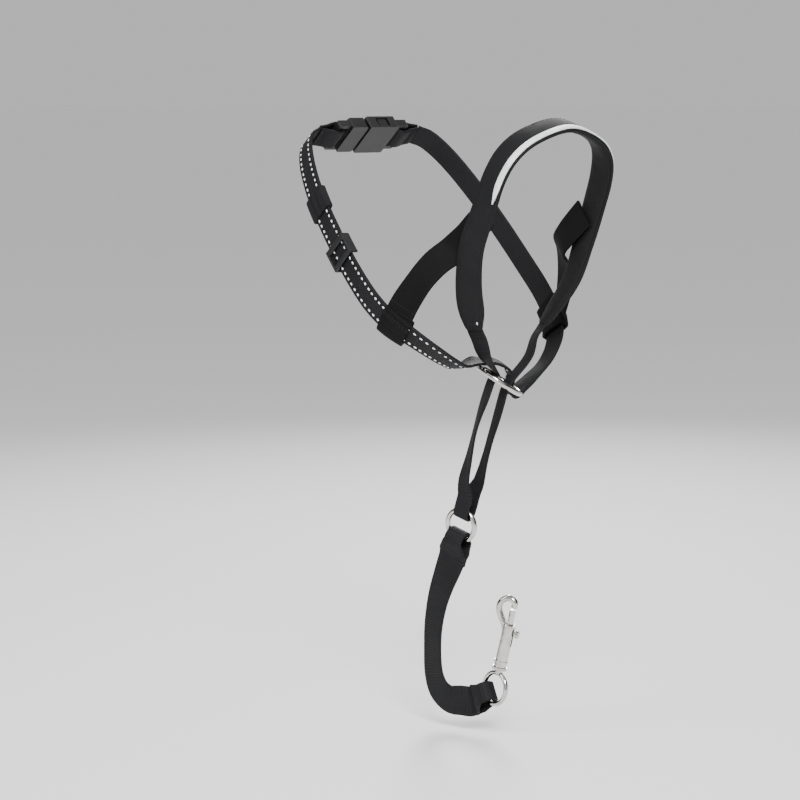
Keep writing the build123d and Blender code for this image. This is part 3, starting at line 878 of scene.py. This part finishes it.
def make_slider():
    """Three-bar slide: two outer bars over the strap and the middle bar under it."""
    wall = 1.4 * MM
    stretch, across, out, _ = band_round(upper, "strap_slider", wall)
    half_w, half_t, length = np.abs(across).max(), np.abs(out).max(), stretch.length
    cuts = (
        (-half_w, -half_w + wall, half_w - wall, half_w),
        (0.0, length * 0.24, length * 0.38, length * 0.62, length * 0.76, length),
        (-half_t, -half_t + wall, half_t - wall, half_t),
    )
    rails = [(i, j, k) for i in (0, 2) for j in range(5) for k in range(3)]
    bars = [(1, 0, 2), (1, 4, 2), (1, 2, 0)]
    slider = block_mesh("strap_three_bar_slide", rails + bars, cuts, stretch)
    finish_piece(slider, "plastic", "adjuster")
    round_edges(slider, 0.6 * MM, 4, 30.0)
    flat = slider.modifiers.new("flat faces", "WEIGHTED_NORMAL")
    flat.keep_sharp = True
    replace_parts(slider, "strap_slider")


make_slider()


# ---- neck strap with its two rows of reflective stitches ----
DOT_SIZE = (1.9 * MM, 1.25 * MM, 0.5 * MM)
DOT_SHARE = 0.62            # how far out from the strap's middle each row lies
BEND = (6.0 * MM, 54.0 * MM)    # a stretch of the upper neck strap, as distances from its start


def make_neck_strap():
    """Both lengths of the neck strap. The upper one lies between the plug and the keeper."""
    # The two lengths are one strap, so the upper one is drawn on until they meet.
    run_on(upper, float(np.linalg.norm(upper.p[-1] - neck.p[0])) + 0.05 * MM, at_start=False)
    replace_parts(webbing("neck_webbing", neck, 14, "headpiece"), "neck_strap")
    strap = webbing("neck_webbing_upper", upper, 14)
    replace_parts(strap, "neck_strap_upper")
    dots = edge_rows(neck, DOT_SHARE, DOT_PITCH, 2.0 * MM, neck.length - 2.0 * MM)
    stitches("neck_dots", dots, DOT_SIZE, "reflective", "headpiece")
    first = 8.0 * MM + (upper.length - 10.0 * MM) % DOT_PITCH
    dots = edge_rows(upper, DOT_SHARE, DOT_PITCH, first, upper.length - 1.9 * MM)
    upper_dots = stitches("neck_dots_upper", dots, DOT_SIZE, "reflective", None)
    bend = [tuple(upper.p[upper.at(s)]) for s in BEND]
    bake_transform(strap)
    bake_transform(upper_dots)


def make_buckle_fold(node, body, tag):
    """Strap end folded round a buckle bar and sewn with two bar tacks."""
    line = lines[node]
    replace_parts(webbing(f"buckle_fold_{tag}", line, 14, body), node)
    tacks = []
    for s in (line.length - 4.0 * MM, 4.0 * MM):
        tacks += tack_places(line, s, 5.6 * MM, 0.06 * MM, rows=3, count=8)
    stitches(f"buckle_fold_tack_{tag}", tacks, TACK, "thread", body)


make_neck_strap()
make_buckle_fold("neck_strap_end", "plug", "plug")
make_buckle_fold("neck_strap_anchor", "headpiece", "socket")


# ---- rings ----
def wire_mesh(name, path, radials, rises, radius, closed=True, flip=False):
    """Skin of a round wire, from its middle line and two directions square to it at each point.
    Its radius is given per point of the line and per side."""
    points, sides = [], radius.shape[1]
    for i, middle in enumerate(path):
        for k in range(sides):
            turn = 2.0 * math.pi * k / sides
            out = radials[i] * math.cos(turn) + rises[i] * math.sin(turn)
            points.append(middle + out * radius[i, k])
    index = np.arange(radius.size).reshape(radius.shape)
    if closed:
        faces = grid_quads(np.vstack([index, index[:1]]), flip)
    else:
        faces = grid_quads(index, flip) + [index[0][::-1], index[-1]]
    return mesh_piece(name, points, faces)


def wire_ring(name, node, body, weld_at):
    """Round wire ring with the seam where its ends were welded, at an angle in radians."""
    points = node_points(node)
    middle = points.mean(axis=0)
    normal = np.linalg.svd(points - middle, full_matrices=False)[2][2]
    reach = np.linalg.norm(points - middle, axis=1)
    wire = (reach.max() - reach.min()) / 2.0
    radius = reach.max() - wire
    first = unit(np.cross(normal, [0.31, 0.2, 0.93]))
    second = np.cross(normal, first)
    rings, sides = 160, 24
    turns = 2.0 * math.pi * np.arange(rings) / rings
    radials = first * np.cos(turns)[:, None] + second * np.sin(turns)[:, None]
    apart = np.abs((turns - weld_at + math.pi) % (2.0 * math.pi) - math.pi) * radius
    bulge = 0.10 * MM * np.exp(-((apart / (0.9 * MM)) ** 2))
    seam = bulge - 0.16 * MM * np.exp(-((apart / (0.25 * MM)) ** 2))
    round_share = 0.7 + 0.3 * np.cos(2.0 * math.pi * np.arange(sides) / sides)
    sizes = wire + seam[:, None] * round_share
    path = middle + radials * radius
    ring = wire_mesh(name, path, radials, np.broadcast_to(normal, path.shape), sizes, flip=True)
    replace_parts(finish_piece(ring, "bright_steel", body), node)


wire_ring("chin_slip_ring", "slip_ring", "chin_ring", 2.2)
wire_ring("lead_wire_ring", "lead_ring", "lead_ring", 0.9)


# ---- safety link ----
def make_link():
    """Webbing looped round the ring and the eye, with bar tacks on both faces."""
    link = lines["safety_link"]
    across, out = flat_section(link, 16, 0.85, dip=ribs(link, 0.2 * MM), bead=0.05 * MM)
    strap = finish_piece(sweep("link_webbing", link, across, out), "webbing", "link")
    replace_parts(strap, "safety_link")
    tacks = []
    for face in (1.0, -1.0):
        for s in (13.0 * MM, link.length - 11.5 * MM):
            tacks += tack_places(link, s, 6.6 * MM, 0.05 * MM, rows=3, count=9, side=face)
        for s in (2.5 * MM, link.length - 2.5 * MM):
            tacks += tack_places(link, s, 6.6 * MM, 0.05 * MM, rows=2, count=9, side=face)
    for edge in (-6.4 * MM, 6.4 * MM):
        tacks += row_places(link, edge, 2.2 * MM, 0.03 * MM, 2.5 * MM, 13.0 * MM)
    stitches("link_tacks", tacks, TACK, "thread", "link")


make_link()


# ---- hardware kept from the frame ----
def keep(node, slot, bevel):
    """Gives a CAD node its finish, and rounds its edges by bevel."""
    obj = frame["nodes"][node]
    obj.data.materials.clear()
    obj.data.materials.append(MATERIALS[slot])
    if bevel:
        round_edges(obj, bevel, 3, 40.0)


for node in ("buckle_female", "buckle_male", "buckle_prong_upper", "buckle_prong_lower"):
    keep(node, "plastic", 0.5 * MM)
keep("snap_eye", "bright_steel", 0.0)
keep("snap_body", "bright_steel", 0.5 * MM)
keep("snap_bolt", "bright_steel", 0.3 * MM)


def make_spring():
    """Coil spring under the bolt, with closed ends."""
    joint = next(j for j in frame["record"]["behaviour"]["joints"] if j["name"] == "bolt_slide")
    axis = -unit(np.array(joint["axis"], float))
    first = unit(np.cross(axis, (1.0, 0.0, 0.0)))
    second = np.cross(axis, first)
    places = node_points("snap_spring") @ np.array([axis, first, second]).T
    low, high = places.min(axis=0), places.max(axis=0)
    middle = first * (low[1] + high[1]) / 2.0 + second * (low[2] + high[2]) / 2.0
    wire = 0.3 * MM
    rings, turns = 220, 6.0
    share = np.linspace(0.0, 1.0, rings)
    rise = share - 0.13 * np.sin(2.0 * math.pi * share)
    angle = (2.0 * math.pi * turns * share)[:, None]
    radials = first * np.cos(angle) + second * np.sin(angle)
    heights = low[0] + wire + (high[0] - low[0] - 2.0 * wire) * rise
    path = middle + radials * ((high[1] - low[1]) / 2.0 - wire) + axis * heights[:, None]
    rises = np.broadcast_to(axis, path.shape)
    spring = wire_mesh("bolt_spring", path, radials, rises, np.full((rings, 10), wire), closed=False)
    finish_piece(spring, "spring_steel", "snap")
    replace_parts(spring, "snap_spring")
    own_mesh(spring)


make_spring()


# ---- relief on the buckle ----
def flat_face(node):
    """A buckle half's outer flat face: its middle, normal, two directions and half sizes."""
    areas = {}
    for polygon in frame["nodes"][node].data.polygons:
        if polygon.normal.dot(Vector((0.0, 1.0, 1.0))) > 0.5:
            key = tuple(round(c, 3) for c in polygon.normal)
            areas[key] = areas.get(key, 0.0) + polygon.area
    normal = unit(np.array(max(areas, key=areas.get)))
    points = node_points(node)
    height = points @ normal
    points = points[height > height.max() - 0.02 * MM]
    along = np.array((1.0, 0.0, 0.0))
    across = np.cross(normal, along)
    places = points @ np.array([along, across]).T
    low, high = places.min(axis=0), places.max(axis=0)
    centre = (low + high) / 2.0
    middle = along * centre[0] + across * centre[1] + normal * height.max()
    return middle, normal, along, across, (high - low) / 2.0


def moulded_border(name, node, body, inset, corner, radius):
    """Raised line round the outer face of a buckle half."""
    middle, normal, along, across, half = flat_face(node)
    path = []
    for quarter, (sx, sy) in enumerate(((1, 1), (-1, 1), (-1, -1), (1, -1))):
        for k in range(9):
            turn = math.radians(90.0 * quarter + 90.0 * k / 8)
            x = sx * (half[0] - inset - corner) + corner * math.cos(turn)
            y = sy * (half[1] - inset - corner) + corner * math.sin(turn)
            path.append(middle + along * x + across * y)
    path = np.array(path)
    way = unit(np.roll(path, -1, axis=0) - np.roll(path, 1, axis=0))
    rises = np.broadcast_to(normal * 0.7, path.shape)
    border = wire_mesh(name, path, np.cross(normal, way), rises, np.full((len(path), 10), radius))
    finish_piece(border, "plastic", body)


def grip_ribs(name, node, body, count, pitch):
    """Ridges across the outer face of a buckle half, where a thumb pushes."""
    middle, normal, along, across, half = flat_face(node)
    places = []
    for k in range(count):
        places.append((middle + along * (k - (count - 1) / 2.0) * pitch, across, normal))
    stitches(name, places, (2.0 * half[1] - 6.0 * MM, 1.3 * MM, 1.0 * MM), "plastic", body)


moulded_border("buckle_socket_border", "buckle_female", "headpiece", 2.4 * MM, 2.0 * MM, 0.5 * MM)
grip_ribs("buckle_plug_ribs", "buckle_male", "plug", 4, 1.9 * MM)


# ---- floor, light and camera ----
HORIZON = 0.51              # brightness of the room where it meets the far floor
FLOOR_Z = -0.29             # just under the snap
LAMP_AIM = Vector((0.0, 0.04, -0.08))
AZIMUTH, ELEVATION = math.radians(-40.0), math.radians(6.0)
DISTANCE = 1.7              # from the origin to the camera
SHIFT = (0.07257, 0.08457)  # how far left and down of that it stands, to frame the halter


def make_floor():
    mesh = bpy.data.meshes.new("floor")
    corners = [(-60.0, -60.0), (60.0, -60.0), (60.0, 60.0), (-60.0, 60.0)]
    mesh.from_pydata([(x, y, FLOOR_Z) for x, y in corners], [], [(0, 1, 2, 3)])
    floor = bpy.data.objects.new("floor", mesh)
    bpy.context.scene.collection.objects.link(floor)
    floor.data.materials.append(Finish("pale floor", (0.86, 0.86, 0.86), 0.8).material)


def lamp(name, place, size, power):
    """Soft rectangular lamp at a place, aimed at the middle of the halter; power is in watts."""
    data = bpy.data.lights.new(name, "AREA")
    data.shape = "RECTANGLE"
    data.size, data.size_y = size
    data.energy = power
    data.spread = math.radians(100.0)
    obj = bpy.data.objects.new(name, data)
    obj.location = place
    way = LAMP_AIM - Vector(place)
    obj.rotation_euler = way.to_track_quat("-Z", "Y").to_euler()
    bpy.context.scene.collection.objects.link(obj)


def sideways_shade(tree, place):
    """Brightness of the room: brightest a little to the sides of the view and dark beyond."""
    link = tree.links.new
    sideways = tree.nodes.new("ShaderNodeVectorMath")
    sideways.operation = "DOT_PRODUCT"
    sideways.inputs[1].default_value = (0.766, -0.643, 0.0)
    link(place.outputs["Generated"], sideways.inputs[0])
    size = tree.nodes.new("ShaderNodeMath")
    size.operation = "ABSOLUTE"
    link(sideways.outputs["Value"], size.inputs[0])
    stops = (0.1, (0.55, 0.55, 0.55)), (0.8, (0.04, 0.04, 0.045)), (0.35, (1.0, 1.0, 1.0))
    shade = colour_ramp(tree, stops)
    link(size.outputs[0], shade.inputs[0])
    return shade.outputs[0]


def make_room():
    """Pale room that darkens to the sides and meets the floor's brightness at the horizon."""
    world = bpy.data.worlds.new("studio")
    world.use_nodes = True
    tree = world.node_tree
    link = tree.links.new
    place = tree.nodes.new("ShaderNodeTexCoord")
    height = tree.nodes.new("ShaderNodeSeparateXYZ")
    link(place.outputs["Generated"], height.inputs[0])
    above = tree.nodes.new("ShaderNodeMapRange")
    above.interpolation_type = "SMOOTHSTEP"
    above.inputs["From Min"].default_value = 0.03
    above.inputs["From Max"].default_value = 0.16
    link(height.outputs["Z"], above.inputs["Value"])
    meet = tree.nodes.new("ShaderNodeMix")
    meet.data_type = "RGBA"
    meet.inputs["A"].default_value = (HORIZON, HORIZON, HORIZON, 1.0)
    link(above.outputs["Result"], meet.inputs["Factor"])
    link(sideways_shade(tree, place), meet.inputs["B"])
    back = tree.nodes["Background"]
    link(meet.outputs["Result"], back.inputs["Color"])
    back.inputs["Strength"].default_value = 1.15
    bpy.context.scene.world = world


def make_camera():
    level = math.cos(ELEVATION)
    back = Vector((math.sin(AZIMUTH) * level, -math.cos(AZIMUTH) * level, math.sin(ELEVATION)))
    right = Vector((math.cos(AZIMUTH), math.sin(AZIMUTH), 0.0))
    up = back.cross(right)
    place = back * DISTANCE - right * SHIFT[0] - up * SHIFT[1]
    data = bpy.data.cameras.new("photo view")
    data.sensor_width = 36.0
    data.lens = 133.9
    data.clip_start = 0.05
    data.clip_end = 50.0
    camera = bpy.data.objects.new("photo view", data)
    basis = Matrix((right, up, back)).transposed().to_4x4()
    camera.matrix_world = Matrix.Translation(place) @ basis
    bpy.context.scene.collection.objects.link(camera)
    bpy.context.scene.camera = camera


make_floor()
make_room()
lamp("key", (-0.9, -1.3, 1.1), (0.7, 0.7), 17.0)
lamp("fill", (-1.7, 0.5, 0.9), (0.5, 1.4), 5.0)
lamp("rim", (1.1, 1.2, 0.9), (0.4, 1.2), 11.0)
make_camera()

bpy.context.view_layer.update()
